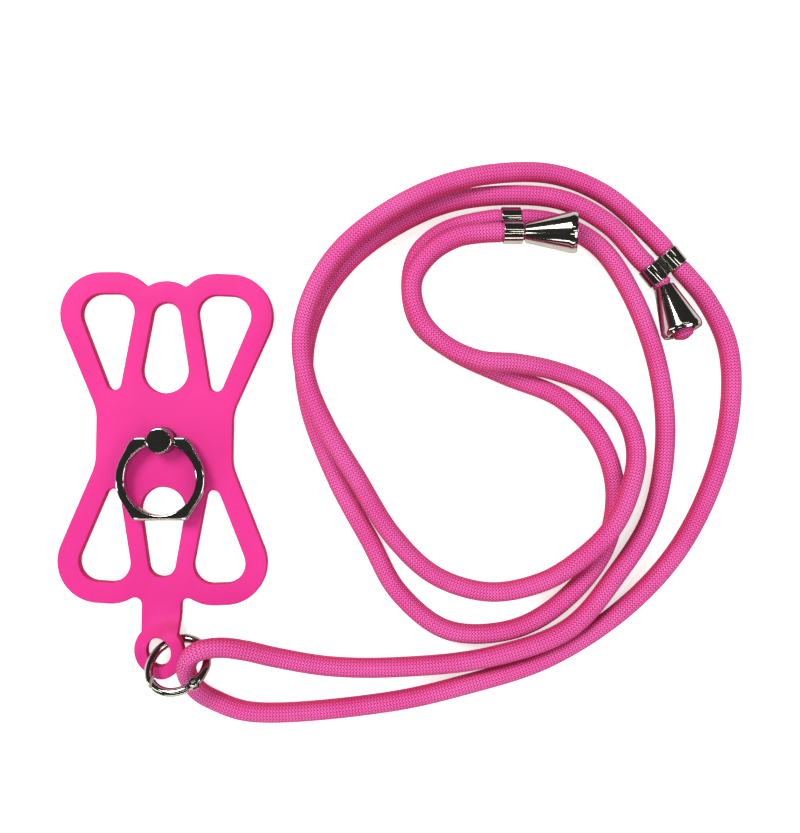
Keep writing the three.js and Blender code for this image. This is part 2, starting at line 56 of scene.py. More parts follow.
camera = {"over": Vector((0.078, 0.00785, 0)), "height": 0.260, "lens": 35.0}
cameraData = bpy.data.cameras.new("camera")
cameraData.lens = camera["lens"]
cameraData.sensor_width = 36
cameraData.sensor_fit = "HORIZONTAL"
cameraData.clip_start = 0.01
cameraData.clip_end = 20
cameraObject = bpy.data.objects.new("camera", cameraData)
cameraObject.location = hub + camera["over"] + Vector((0, 0, camera["height"]))
scene.collection.objects.link(cameraObject)
scene.camera = cameraObject


# shared mesh helpers

def objectFrom(name, mesh, sharpAngle=None):
    mesh.shade_smooth()
    if sharpAngle is not None:
        mesh.set_sharp_from_angle(angle=radians(sharpAngle))
    made = bpy.data.objects.new(name, mesh)
    scene.collection.objects.link(made)
    return made


def meshFrom(name, bm):
    bmesh.ops.recalc_face_normals(bm, faces=bm.faces)
    if bm.calc_volume(signed=True) < 0:
        bmesh.ops.reverse_faces(bm, faces=bm.faces)
    mesh = bpy.data.meshes.new(name)
    bm.to_mesh(mesh)
    bm.free()
    return mesh


def bridgeRings(bm, rings, closed=False):
    loops = []
    for ring in rings:
        loops.append([bm.edges.get(pair) or bm.edges.new(pair) for pair in zip(ring, ring[1:] + ring[:1])])
    if closed:
        loops.append(loops[0])
    for first, second in zip(loops, loops[1:]):
        bmesh.ops.bridge_loops(bm, edges=first + second)


def spun(bm, profile, matrix, sides=96, closed=False):
    # profile is (radius, height) from the foot up; radius 0 closes on the axis
    others = set(bm.verts)
    line = [bm.verts.new((radius, 0, height)) for radius, height in profile]
    edges = [bm.edges.new(pair) for pair in zip(line, line[1:])]
    if closed:
        edges.append(bm.edges.new((line[-1], line[0])))
    bmesh.ops.spin(bm, geom=line + edges, cent=(0, 0, 0), axis=(0, 0, 1), angle=2 * pi, steps=sides,
                   use_merge=True)
    turned = [vert for vert in bm.verts if vert not in others]
    bmesh.ops.remove_doubles(bm, verts=turned, dist=1e-7)
    turned = [vert for vert in bm.verts if vert not in others]
    bmesh.ops.transform(bm, matrix=matrix, verts=turned)


def roundedProfile(corners, steps=5):
    # corners is (radius, height, round): each corner is softened by its own round
    points = []
    for i, (x, y, soft) in enumerate(corners):
        here = Vector((x, y))
        if soft <= 0:
            points.append((x, y))
            continue
        before = (Vector(corners[i - 1][:2]) - here).normalized()
        after = (Vector(corners[(i + 1) % len(corners)][:2]) - here).normalized()
        start = here + before * soft
        end = here + after * soft
        for k in range(steps + 1):
            t = k / steps
            p = start * (1 - t) ** 2 + here * 2 * t * (1 - t) + end * t ** 2
            points.append((p.x, p.y))
    return points


def alongAxis(start, direction):
    turn = Vector((0, 0, 1)).rotation_difference(direction.normalized())
    return Matrix.Translation(start) @ turn.to_matrix().to_4x4()


def arc(circle, start, end, step=0.0006):
    x, y, radius = circle
    count = max(2, int(abs(end - start) * radius / step) + 1)
    return [
        Vector((x + radius * cos(start + (end - start) * i / count),
                y + radius * sin(start + (end - start) * i / count)))
        for i in range(count + 1)
    ]


def beltAngle(first, second):
    dx = second[0] - first[0]
    dy = second[1] - first[1]
    return atan2(dy, dx) - acos((first[2] - second[2]) / hypot(dx, dy))


def belt(circles):
    # a tight belt round circles given anticlockwise
    points = []
    for i, circle in enumerate(circles):
        start = beltAngle(circles[i - 1], circle)
        end = beltAngle(circle, circles[(i + 1) % len(circles)])
        while end < start:
            end += 2 * pi
        points += arc(circle, start, end)
    return points


def cleaned(points, least=0.00012):
    kept = []
    for point in points:
        if not kept or (point - kept[-1]).length > least:
            kept.append(point)
    while (kept[0] - kept[-1]).length < least:
        kept.pop()
    return kept


def inset(points, distance):
    # moves a closed outline to its left, mitred at the corners
    moved = []
    for i, point in enumerate(points):
        before = (point - points[i - 1]).normalized()
        after = (points[(i + 1) % len(points)] - point).normalized()
        n1 = Vector((-before.y, before.x))
        n2 = Vector((-after.y, after.x))
        moved.append(point + (n1 + n2) * (distance / max(0.4, 1 + n1.dot(n2))))
    return moved


def roundedPlate(outlines, low, high, edgeRound, steps=5):
    # outer outline anticlockwise, holes clockwise, so that the material is on the left
    bm = bmesh.new()
    rims = []
    for outline in outlines:
        levels = []
        for k in range(steps + 1):
            a = pi / 2 * k / steps
            levels.append((edgeRound * (1 - sin(a)), low + edgeRound * (1 - cos(a))))
        for k in range(steps + 1):
            a = pi / 2 * (1 - k / steps)
            levels.append((edgeRound * (1 - sin(a)), high - edgeRound * (1 - cos(a))))
        rings = []
        for distance, height in levels:
            ring = [bm.verts.new((p.x, p.y, height)) for p in inset(outline, distance)]
            rings.append(ring)
        bridgeRings(bm, rings)
        rims.append((rings[0], rings[-1]))
    for side in (0, 1):
        edges = []
        for pair in rims:
            ring = pair[side]
            for i, vert in enumerate(ring):
                edges.append(bm.edges.get((vert, ring[(i + 1) % len(ring)])))
        bmesh.ops.triangle_fill(bm, edges=edges, use_beauty=True, use_dissolve=False)
    bmesh.ops.recalc_face_normals(bm, faces=bm.faces)
    return bm


# shared material helpers

def newMaterial(name):
    made = bpy.data.materials.new(name)
    made.use_nodes = True
    made.node_tree.nodes.clear()
    return made, made.node_tree


def addNode(tree, kind, **values):
    node = tree.nodes.new(kind)
    for key, value in values.items():
        setattr(node, key, value)
    return node


def math(tree, operation, a, b=None):
    node = addNode(tree, "ShaderNodeMath", operation=operation)
    for i, value in enumerate((a, b)):
        if value is None:
            continue
        if isinstance(value, (int, float)):
            node.inputs[i].default_value = value
        else:
            tree.links.new(value, node.inputs[i])
    return node.outputs[0]


def noise(tree, scale, detail=3, roughness=0.5, vector=None):
    node = addNode(tree, "ShaderNodeTexNoise")
    node.inputs["Scale"].default_value = scale
    node.inputs["Detail"].default_value = detail
    node.inputs["Roughness"].default_value = roughness
    if vector is None:
        vector = addNode(tree, "ShaderNodeTexCoord").outputs["Object"]
    tree.links.new(vector, node.inputs["Vector"])
    return node.outputs["Fac"]


def ramp(tree, value, stops):
    node = addNode(tree, "ShaderNodeValToRGB")
    tree.links.new(value, node.inputs["Fac"])
    elements = node.color_ramp.elements
    while len(elements) < len(stops):
        elements.new(0.5)
    for element, (position, color) in zip(elements, stops):
        element.position = position
        element.color = (*color, 1)
    return node.outputs["Color"]


def ranged(tree, value, low, high, outLow, outHigh):
    node = addNode(tree, "ShaderNodeMapRange")
    tree.links.new(value, node.inputs["Value"])
    node.inputs["From Min"].default_value = low
    node.inputs["From Max"].default_value = high
    node.inputs["To Min"].default_value = outLow
    node.inputs["To Max"].default_value = outHigh
    return node.outputs["Result"]


def bump(tree, height, distance, strength=1.0, normal=None):
    node = addNode(tree, "ShaderNodeBump")
    node.inputs["Strength"].default_value = strength
    node.inputs["Distance"].default_value = distance
    tree.links.new(height, node.inputs["Height"])
    if normal is not None:
        tree.links.new(normal, node.inputs["Normal"])
    return node.outputs["Normal"]


def finishMaterial(tree, shader):
    output = addNode(tree, "ShaderNodeOutputMaterial")
    tree.links.new(shader.outputs["BSDF"], output.inputs["Surface"])


def dress(piece, material, body, *nodes):
    piece.data.materials.clear()
    piece.data.materials.append(material)
    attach(piece, body)
    if nodes:
        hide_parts(*nodes)


# cord

cord = {
    "diameter": 0.0064,
    "ringStep": 0.0009,
    "sides": 28,
    "wales": 18,
    "stitch": 0.00104,
    "endRound": 0.0014,
    "taper": 0.0011,
}

# from one bell cap to the other, with the radius it is squeezed to in a fitting
cordRoute = [
    (0.1326, 0.0664, 0.013), (0.127, 0.0667, 0.0116), (0.1224, 0.0669, 0.0105, 0.0023),
    (0.1183, 0.0671, 0.0095, 0.0023), (0.1176, 0.0672, 0.0093, 0.00285),
    (0.1112, 0.0672, 0.0093, 0.00285), (0.1055, 0.067, 0.0094), (0.0965, 0.0655, 0.0098),
    (0.088, 0.0605, 0.0103), (0.0825, 0.053, 0.0103), (0.082, 0.046, 0.0103),
    (0.0855, 0.0375, 0.0103), (0.093, 0.0305, 0.0103), (0.1035, 0.026, 0.0104),
    (0.116, 0.025, 0.009), (0.1295, 0.0225, 0.0056), (0.143, 0.017, 0.0039),
    (0.1515, 0.009, 0.004), (0.155, -0.0025, 0.006), (0.1525, -0.0145, 0.0094),
    (0.146, -0.028, 0.0104), (0.136, -0.0385, 0.0086), (0.1245, -0.0465, 0.0048),
    (0.1075, -0.05, 0.0034), (0.0895, -0.0445, 0.0036), (0.0755, -0.031, 0.0056),
    (0.064, -0.012, 0.0086), (0.054, 0.005, 0.0102), (0.048, 0.0195, 0.0104),
    (0.0465, 0.034, 0.0104), (0.0505, 0.0485, 0.0103), (0.059, 0.0615, 0.0103),
    (0.073, 0.073, 0.0101), (0.0905, 0.082, 0.0094), (0.1095, 0.0868, 0.0072),
    (0.129, 0.0873, 0.0044), (0.1455, 0.081, 0.0034), (0.1605, 0.068, 0.0036),
    (0.1657, 0.0623, 0.00375, 0.00285), (0.1697, 0.0573, 0.00375, 0.00285),
    (0.1785, 0.047, 0.0035), (0.186, 0.0315, 0.0033), (0.187, 0.0115, 0.0033),
    (0.1815, -0.0125, 0.0033), (0.169, -0.037, 0.0033), (0.1505, -0.0565, 0.0033),
    (0.126, -0.072, 0.0033), (0.1, -0.0805, 0.0033), (0.073, -0.0865, 0.0033),
    (0.0285, -0.0895, 0.0033), (0.0165, -0.0855, 0.0034), (0.012, -0.0825, 0.0042),
    (0.0095, -0.078, 0.0064), (0.009, -0.073, 0.009), (0.011, -0.069, 0.0103),
    (0.0145, -0.067, 0.0108), (0.0205, -0.0665, 0.0098), (0.028, -0.068, 0.008),
    (0.037, -0.071, 0.0052), (0.055, -0.0745, 0.0035), (0.078, -0.0745, 0.0042),
    (0.1075, -0.0705, 0.0064), (0.133, -0.061, 0.0069), (0.149, -0.044, 0.0048),
    (0.161, -0.025, 0.0034), (0.1655, 0, 0.0033), (0.163, 0.0245, 0.0033),
    (0.1543, 0.0483, 0.0033), (0.1435, 0.064, 0.0033), (0.1295, 0.0715, 0.0034),
    (0.1176, 0.073, 0.0039, 0.00285), (0.1112, 0.073, 0.0039, 0.00285),
    (0.093, 0.069, 0.0034), (0.084, 0.0615, 0.0033), (0.0815, 0.0505, 0.0033),
    (0.0845, 0.0385, 0.0033), (0.0955, 0.0295, 0.0033), (0.1125, 0.0215, 0.0033),
    (0.1315, 0.0135, 0.0033), (0.144, 0, 0.0033), (0.149, -0.017, 0.0033),
    (0.145, -0.0365, 0.0033), (0.1305, -0.054, 0.0033), (0.1145, -0.0625, 0.0033),
    (0.0935, -0.0625, 0.0033), (0.0775, -0.05, 0.0033), (0.068, -0.033, 0.0033),
    (0.057, -0.0125, 0.0033), (0.048, 0.0115, 0.0033), (0.0465, 0.0295, 0.0033),
    (0.0515, 0.046, 0.0033), (0.062, 0.06, 0.0033), (0.077, 0.071, 0.0033),
    (0.0945, 0.0785, 0.0033), (0.1145, 0.0808, 0.0036), (0.132, 0.0784, 0.0054),
    (0.147, 0.07, 0.0056), (0.1565, 0.06, 0.0046), (0.1596, 0.0573, 0.00375, 0.00285),
    (0.1636, 0.0523, 0.00375, 0.00285), (0.1647, 0.0506, 0.0043, 0.0023),
    (0.166, 0.0467, 0.00515, 0.0023), (0.1682, 0.04, 0.0066), (0.1705, 0.033, 0.0081),
]


def centripetal(points, step):
    # a smooth line through the points, with the neighbours' distances as its pace
    ends = [points[0] * 2 - points[1]] + points + [points[-1] * 2 - points[-2]]
    line = []
    marks = []
    for i in range(1, len(ends) - 2):
        p0, p1, p2, p3 = ends[i - 1:i + 3]
        t1 = (p1 - p0).length ** 0.5
        t2 = t1 + (p2 - p1).length ** 0.5
        t3 = t2 + (p3 - p2).length ** 0.5
        count = max(1, round((p2 - p1).length / step))
        marks.append(len(line))
        for k in range(count):
            t = t1 + (t2 - t1) * k / count
            a1 = p0 * ((t1 - t) / t1) + p1 * (t / t1)
            a2 = p1 * ((t2 - t) / (t2 - t1)) + p2 * ((t - t1) / (t2 - t1))
            a3 = p2 * ((t3 - t) / (t3 - t2)) + p3 * ((t - t2) / (t3 - t2))
            b1 = a1 * ((t2 - t) / t2) + a2 * (t / t2)
            b2 = a2 * ((t3 - t) / (t3 - t1)) + a3 * ((t - t1) / (t3 - t1))
            line.append(b1 * ((t2 - t) / (t2 - t1)) + b2 * ((t - t1) / (t2 - t1)))
    marks.append(len(line))
    line.append(points[-1])
    return line, marks


def smoothStep(x):
    x = min(1, max(0, x))
    return x * x * (3 - 2 * x)


def knittedTube():
    points = [hub + Vector(p[:3]) for p in cordRoute]
    line, marks = centripetal(points, cord["ringStep"])
    distance = [0]
    for a, b in zip(line, line[1:]):
        distance.append(distance[-1] + (b - a).length)
    length = distance[-1]

    squeezes = []
    i = 0
    while i < len(cordRoute):
        if len(cordRoute[i]) == 4:
            squeezes.append((distance[marks[i]], distance[marks[i + 1]], cordRoute[i][3]))
            i += 1
        i += 1

    full = cord["diameter"] / 2
    tangents = []
    for i in range(len(line)):
        ahead = line[min(i + 1, len(line) - 1)] - line[max(i - 1, 0)]
        tangents.append(ahead.normalized())
    side = tangents[0].orthogonal().normalized()
    bm = bmesh.new()
    uv = bm.loops.layers.uv.new("knit")
    rings = []
    for i, (centre, tangent, s) in enumerate(zip(line, tangents, distance)):
        if i:
            side = tangents[i - 1].rotation_difference(tangent) @ side
        side = (side - tangent * side.dot(tangent)).normalized()
        other = tangent.cross(side)
        radius = full
        for start, end, tight in squeezes:
            away = max(start - s, s - end, 0)
            radius = min(radius, tight + (full - tight) * smoothStep(away / cord["taper"]))
        # the two sealed ends are rounded over
        rest = min(s, length - s)
        if rest < cord["endRound"]:
            q = 1 - rest / cord["endRound"]
            radius *= max(0.30, sqrt(max(0, 1 - 0.92 * q * q)))
        ring = []
        for k in range(cord["sides"]):
            turn = 2 * pi * k / cord["sides"]
            ring.append(bm.verts.new(centre + (side * cos(turn) + other * sin(turn)) * radius))
        rings.append(ring)
    sides = cord["sides"]
    for i, (first, second) in enumerate(zip(rings, rings[1:])):
        for k in range(sides):
            j = (k + 1) % sides
            face = bm.faces.new((first[k], first[j], second[j], second[k]))
            spots = ((k, i), (k + 1, i), (k + 1, i + 1), (k, i + 1))
            for loop, (around, ahead) in zip(face.loops, spots):
                loop[uv].uv = (around / sides * cord["wales"], distance[ahead] / cord["stitch"])
    for ring, turned in ((rings[0], True), (rings[-1], False)):
        face = bm.faces.new(list(reversed(ring)) if turned else ring)
        for loop in face.loops:
            loop[uv].uv = (0, 0)
    return objectFrom("knitted_cord", meshFrom("knitted_cord", bm)), line, length


def knitMaterial():
    # wales of V stitches that run along the cord, with painted shade where the stitches part
    material, tree = newMaterial("knitted pink polyester")
    place = addNode(tree, "ShaderNodeUVMap", uv_map="knit")
    split = addNode(tree, "ShaderNodeSeparateXYZ")
    tree.links.new(place.outputs["UV"], split.inputs[0])
    wale = math(tree, "SUBTRACT", math(tree, "FRACT", split.outputs["X"]), 0.5)
    fromMiddle = math(tree, "ABSOLUTE", wale)
    lean = math(tree, "MULTIPLY", fromMiddle, 1.5)
    course = math(tree, "FRACT", math(tree, "ADD", split.outputs["Y"], lean))
    leg = math(tree, "ABSOLUTE", math(tree, "SUBTRACT", course, 0.5))
    # each leg is a yarn, 0 where the stitches part and 1 on its crown
    yarn = math(tree, "SUBTRACT", 1.0, math(tree, "MULTIPLY", leg, 2.0))
    waleCrown = math(tree, "SUBTRACT", 1.0, math(tree, "POWER", math(tree, "MULTIPLY", fromMiddle, 1.9), 4.0))
    middleGroove = ranged(tree, fromMiddle, 0.0, 0.11, 0.55, 1.0)
    height = math(tree, "MULTIPLY", math(tree, "MULTIPLY", yarn, waleCrown), middleGroove)

    patch = noise(tree, 55, 2)
    fibre = noise(tree, 2600, 3, 0.7)
    top = ramp(tree, patch, [(0.35, cordColors["crown"]), (0.65, cordColors["crownPale"])])
    # painted shade: the flanks, turned away from the light, are painted redder than the top
    coordinates = addNode(tree, "ShaderNodeTexCoord")
    normal = addNode(tree, "ShaderNodeSeparateXYZ")
    tree.links.new(coordinates.outputs["Normal"], normal.inputs[0])
    crown = addNode(tree, "ShaderNodeMix", data_type="RGBA")
    tree.links.new(ranged(tree, normal.outputs["Z"], 0.30, 0.95, 0.0, 1.0), crown.inputs["Factor"])
    crown.inputs["A"].default_value = (*cordColors["flankShade"], 1)
    tree.links.new(top, crown.inputs["B"])
    # painted shade: the partings, and less so the yarn legs, are painted darker than the crowns
    depth = ramp(tree, height, [(0.14, cordColors["partingShade"]), (0.34, cordColors["leg"]), (0.56, (1, 1, 1))])
    mixed = addNode(tree, "ShaderNodeMix", data_type="RGBA", blend_type="MULTIPLY")
    mixed.inputs["Factor"].default_value = 1
    tree.links.new(crown.outputs["Result"], mixed.inputs["A"])
    tree.links.new(depth, mixed.inputs["B"])

    shader = addNode(tree, "ShaderNodeBsdfPrincipled")
    tree.links.new(mixed.outputs["Result"], shader.inputs["Base Color"])
    tree.links.new(ranged(tree, fibre, 0.3, 0.7, 0.62, 0.82), shader.inputs["Roughness"])
    shader.inputs["Sheen Weight"].default_value = 0.25
    shader.inputs["Sheen Roughness"].default_value = 0.5
    shader.inputs["Sheen Tint"].default_value = (1, 0.45, 0.8, 1)
    shader.inputs["Specular IOR Level"].default_value = 0.25
    rough = bump(tree, fibre, 0.00004, 0.5)
    tree.links.new(bump(tree, height, 0.00016, 0.9, rough), shader.inputs["Normal"])
    finishMaterial(tree, shader)
    return material


cordColors = {
    "crown": (0.90, 0.115, 0.46),
    "crownPale": (0.94, 0.165, 0.54),
    # painted shade for the cord's flanks
    "flankShade": (0.74, 0.010, 0.14),
    # painted shade down the yarn legs and in the partings between the stitches
    "leg": (0.78, 0.38, 0.56),
    "partingShade": (0.30, 0.07, 0.20),
}
cordObject, cordLine, cordLength = knittedTube()
dress(cordObject, knitMaterial(), "case", "lanyard_cord")
print("cord", round(cordLength, 4))


# metal and silicone

def chromeMaterial():
    # polished gunmetal plating, with the faintest ripple and some rubbed spots
    material, tree = newMaterial("dark chrome plating")
    cloud = noise(tree, 240, 3)
    fine = noise(tree, 5200, 2, 0.6)
    shader = addNode(tree, "ShaderNodeBsdfPrincipled")
    tint = ramp(tree, cloud, [(0.3, (0.44, 0.425, 0.385)), (0.7, (0.52, 0.50, 0.445))])
    tree.links.new(tint, shader.inputs["Base Color"])
    shader.inputs["Metallic"].default_value = 1
    tree.links.new(ranged(tree, fine, 0.35, 0.75, 0.055, 0.12), shader.inputs["Roughness"])
    tree.links.new(bump(tree, cloud, 0.00005, 0.25), shader.inputs["Normal"])
    finishMaterial(tree, shader)
    return material


def siliconeMaterial():
    # soft satin rubber: fine moulding grain, slight cloudiness and a little dust in it
    material, tree = newMaterial("hot pink silicone")
    cloud = noise(tree, 38, 3)
    grain = noise(tree, 3400, 4, 0.65)
    speck = noise(tree, 900, 2)
    shader = addNode(tree, "ShaderNodeBsdfPrincipled")
    face = ramp(tree, cloud, [(0.35, (0.655, 0.025, 0.240)), (0.65, (0.69, 0.031, 0.262))])
    # painted shade: the sides and edge rounds, facing away from the light, are painted a deep red
    side = ramp(tree, cloud, [(0.35, (0.42, 0.003, 0.062)), (0.65, (0.48, 0.004, 0.078))])
    coordinates = addNode(tree, "ShaderNodeTexCoord")
    split = addNode(tree, "ShaderNodeSeparateXYZ")
    tree.links.new(coordinates.outputs["Normal"], split.inputs[0])
    # the painted shade takes over where the surface turns upright
    upright = ranged(tree, math(tree, "ABSOLUTE", split.outputs["Z"]), 0.62, 0.985, 0.0, 1.0)
    tint = addNode(tree, "ShaderNodeMix", data_type="RGBA")
    tree.links.new(upright, tint.inputs["Factor"])
    tree.links.new(side, tint.inputs["A"])
    tree.links.new(face, tint.inputs["B"])
    tree.links.new(tint.outputs["Result"], shader.inputs["Base Color"])
    base = ranged(tree, cloud, 0.3, 0.7, 0.50, 0.58)
    mottled = math(tree, "ADD", base, ranged(tree, speck, 0.4, 0.7, -0.03, 0.05))
    tree.links.new(mottled, shader.inputs["Roughness"])
    shader.inputs["Specular IOR Level"].default_value = 0.16
    shader.inputs["Subsurface Weight"].default_value = 0.12
    shader.inputs["Subsurface Radius"].default_value = (1.0, 0.12, 0.25)
    shader.inputs["Subsurface Scale"].default_value = 0.0012
    tree.links.new(bump(tree, grain, 0.00003, 0.35), shader.inputs["Normal"])
    finishMaterial(tree, shader)
    return material


def plainSteelMaterial():
    # stamped steel, with the fine rings of its rolling
    material, tree = newMaterial("stamped steel")
    coordinates = addNode(tree, "ShaderNodeTexCoord")
    stretch = addNode(tree, "ShaderNodeMapping")
    stretch.inputs["Scale"].default_value = (40, 1, 1)
    tree.links.new(coordinates.outputs["Object"], stretch.inputs["Vector"])
    streak = noise(tree, 220, 4, 0.6, stretch.outputs["Vector"])
    shader = addNode(tree, "ShaderNodeBsdfPrincipled")
    tint = ramp(tree, streak, [(0.3, (0.42, 0.42, 0.41)), (0.7, (0.55, 0.55, 0.54))])
    tree.links.new(tint, shader.inputs["Base Color"])
    shader.inputs["Metallic"].default_value = 1
    tree.links.new(ranged(tree, streak, 0.3, 0.7, 0.24, 0.38), shader.inputs["Roughness"])
    tree.links.new(bump(tree, streak, 0.00002, 0.4), shader.inputs["Normal"])
    finishMaterial(tree, shader)
    return material


def nylonMaterial():
    material, tree = newMaterial("black nylon")
    grain = noise(tree, 2200, 4, 0.6)
    shader = addNode(tree, "ShaderNodeBsdfPrincipled")
    tint = ramp(tree, grain, [(0.3, (0.012, 0.012, 0.014)), (0.7, (0.03, 0.03, 0.032))])
    tree.links.new(tint, shader.inputs["Base Color"])
    tree.links.new(ranged(tree, grain, 0.3, 0.7, 0.45, 0.62), shader.inputs["Roughness"])
    tree.links.new(bump(tree, grain, 0.00003, 0.5), shader.inputs["Normal"])
    finishMaterial(tree, shader)
    return material


chrome = chromeMaterial()
silicone = siliconeMaterial()
steel = plainSteelMaterial()
nylon = nylonMaterial()


# silicone holder

holder = {
    "thickness": 0.003,
    "edgeRound": 0.00045,
    "strap": 0.0072,
    "turn": radians(-1.0),
    "waist": (0.0226, 0.0096, -0.0082),
    "waistRound": 0.003,
    "topOuter": (0.0213, 0.0414, 0.0067),
    "topInner": (0.0166, 0.0422, 0.0060),
    "topTip": (0.0169, 0.0187, 0.0023),
    "bottomOuter": (0.0209, -0.0404, 0.0066),
    "bottomInner": (0.0169, -0.0408, 0.0064),
    "bottomTip": (0.0166, -0.0186, 0.0023),
    "topSlot": ((0, 0.0232, 0.0076), (0, 0.0409, 0.0046)),
    "bottomSlot": ((0, -0.0228, 0.0073), (0, -0.0407, 0.0045)),
    "notch": 0.0012,
    "tabHalf": 0.0065,
    "tabRoot": 0.0023,
    "eye": (0, -0.0694, 0.0088),
    "eyeHole": 0.0045,
    "lift": 0.0039,
    "liftAcross": (-0.0060, 0.0036),
    "liftAlong": (-0.0655, -0.0570),
    "recess": (0.0088, 0.0015),
    "stemHole": 0.0019,
}


def grown(circle, by):
    return (circle[0], circle[1], circle[2] + by)


def mirrored(circle):
    return (-circle[0], circle[1], circle[2])


def angleTo(circle, point):
    return atan2(point[1] - circle[1], point[0] - circle[0])


def notchCentre(first, second, radius):
    a = first[2] + radius
    b = second[2] + radius
    dx = second[0] - first[0]
    dy = second[1] - first[1]
    between = hypot(dx, dy)
    along = (a * a - b * b + between * between) / (2 * between)
    across = -sqrt(a * a - along * along)
    return (first[0] + (dx * along - dy * across) / between,
            first[1] + (dy * along + dx * across) / between,
            radius)


def waistCorner(before, corner, after):
    corner = Vector(corner)
    start = corner + (Vector(before) - corner).normalized() * holder["waistRound"]
    end = corner + (Vector(after) - corner).normalized() * holder["waistRound"]
    return [start * (1 - t) ** 2 + corner * 2 * t * (1 - t) + end * t ** 2 for t in [k / 8 for k in range(9)]]


def holderOutline():
    topOuter = grown(holder["topOuter"], holder["strap"])
    topInner = grown(holder["topInner"], holder["strap"])
    topMiddle = grown(holder["topSlot"][1], holder["strap"])
    bottomOuter = grown(holder["bottomOuter"], holder["strap"])
    bottomInner = grown(holder["bottomInner"], holder["strap"])
    eye = holder["eye"]
    half = arc(eye, -pi / 2, acos(holder["tabHalf"] / eye[2]))

    rootX = holder["tabHalf"] + holder["tabRoot"]
    reach = bottomInner[2] + holder["tabRoot"]
    root = (rootX, bottomInner[1] - sqrt(reach ** 2 - (rootX - bottomInner[0]) ** 2), holder["tabRoot"])
    half += arc(root, pi, angleTo(root, bottomInner))
    half += arc(bottomInner, angleTo(bottomInner, root), beltAngle(bottomInner, bottomOuter))

    waistX, waistTop, waistBottom = holder["waist"]
    lowCorner = (waistX, waistBottom, 0)
    highCorner = (waistX, waistTop, 0)
    half += arc(bottomOuter, beltAngle(bottomInner, bottomOuter), beltAngle(bottomOuter, lowCorner))
    half += waistCorner(half[-1], lowCorner[:2], highCorner[:2])
    enter = beltAngle(highCorner, topOuter)
    top = arc(topOuter, enter, beltAngle(topOuter, topInner))
    half += waistCorner(lowCorner[:2], highCorner[:2], top[0])
    half += top

    notch = notchCentre(topInner, topMiddle, holder["notch"])
    half += arc(topInner, beltAngle(topOuter, topInner), angleTo(topInner, notch))
    start = angleTo(notch, topInner)
    end = angleTo(notch, topMiddle)
    while end > start:
        end -= 2 * pi
    half += arc(notch, start, end, 0.0003)
    half += arc(topMiddle, angleTo(topMiddle, notch), pi / 2)
    whole = half + [Vector((-p.x, p.y)) for p in reversed(half)]
    return cleaned(whole)


def holderHoles():
    loops = [
        (holder["topTip"], holder["topOuter"], holder["topInner"]),
        (mirrored(holder["topTip"]), mirrored(holder["topInner"]), mirrored(holder["topOuter"])),
        (holder["bottomTip"], holder["bottomInner"], holder["bottomOuter"]),
        (mirrored(holder["bottomTip"]), mirrored(holder["bottomOuter"]), mirrored(holder["bottomInner"])),
        holder["topSlot"],
        holder["bottomSlot"],
    ]
    holes = [cleaned(belt(circles))[::-1] for circles in loops]
    eye = (0, -0.0694, holder["eyeHole"])
    holes.append(cleaned(arc(eye, 0, 2 * pi))[::-1])
    return holes


def liftAt(x, y):
    a, b = holder["liftAcross"]
    full, start = holder["liftAlong"]
    return holder["lift"] * smoothStep((x - a) / (b - a)) * (1 - smoothStep((y - full) / (start - full)))


def sliced(bm, points, normal, below):
    # cuts the tab across, so that it can bend
    for point in points:
        faces = [f for f in bm.faces if min(v.co.y for v in f.verts) < below]
        parts = set(faces)
        for face in faces:
            parts.update(face.edges)
            parts.update(face.verts)
        bmesh.ops.bisect_plane(bm, geom=list(parts), plane_co=point, plane_no=normal, dist=1e-6)


def siliconeHolder():
    bm = roundedPlate([holderOutline()] + holderHoles(), 0, holder["thickness"], holder["edgeRound"])
    start = holder["liftAlong"][1]
    sliced(bm, [Vector((0, start, 0))], Vector((0, 1, 0)), start)
    rows = [Vector((0, start - 0.0009 * k, 0)) for k in range(1, 25)]
    sliced(bm, rows, Vector((0, 1, 0)), start - 0.0001)
    columns = [Vector((-0.0081 + 0.0009 * k, 0, 0)) for k in range(19)]
    sliced(bm, columns, Vector((1, 0, 0)), start - 0.0001)
    for vert in bm.verts:
        if vert.co.y < start:
            vert.co.z += liftAt(vert.co.x, vert.co.y)
    bmesh.ops.triangulate(bm, faces=[f for f in bm.faces if len(f.verts) > 4])
    place = Matrix.Translation(hub) @ Matrix.Rotation(holder["turn"], 4, "Z")
    bmesh.ops.transform(bm, matrix=place, verts=bm.verts)
    made = objectFrom("silicone_holder", meshFrom("silicone_holder", bm), 50)

    # the base plate's recess and the stem's hole are cut from below
    cutter = bmesh.new()
    radius, depth = holder["recess"]
    hole = holder["stemHole"]
    spun(cutter, [(0, -0.001), (radius, -0.001), (radius, depth), (hole, depth), (hole, 0.004), (0, 0.004)],
         Matrix.Translation(hub), 72)
    cutterObject = objectFrom("recess_cutter", meshFrom("recess_cutter", cutter))
    cut = made.modifiers.new("recess", "BOOLEAN")
    cut.operation = "DIFFERENCE"
    cut.solver = "EXACT"
    cut.object = cutterObject
    applied(made)
    bpy.data.objects.remove(cutterObject)
    made.data.set_sharp_from_angle(angle=radians(50))
    return made


def applied(piece):
    graph = bpy.context.evaluated_depsgraph_get()
    mesh = bpy.data.meshes.new_from_object(piece.evaluated_get(graph))
    piece.modifiers.clear()
    piece.data = mesh


holderObject = siliconeHolder()
dress(holderObject, silicone, "case", "phone_holder")
print("holder", len(holderObject.data.polygons))


# swivel hub, its stem and washer

mount = {
    "plate": (0.0085, 0.0012),
    "stem": 0.0016,
    "stemTop": 0.0074,
    "washer": (0.0044, 0.0033, 0.0006),
    "hub": (0.0042, 0.0042, 0.0048),
    "bore": (0.0019, 0.0077),
    "socket": (0.0012, 0.0016),
    "pivot": 0.0063,
}


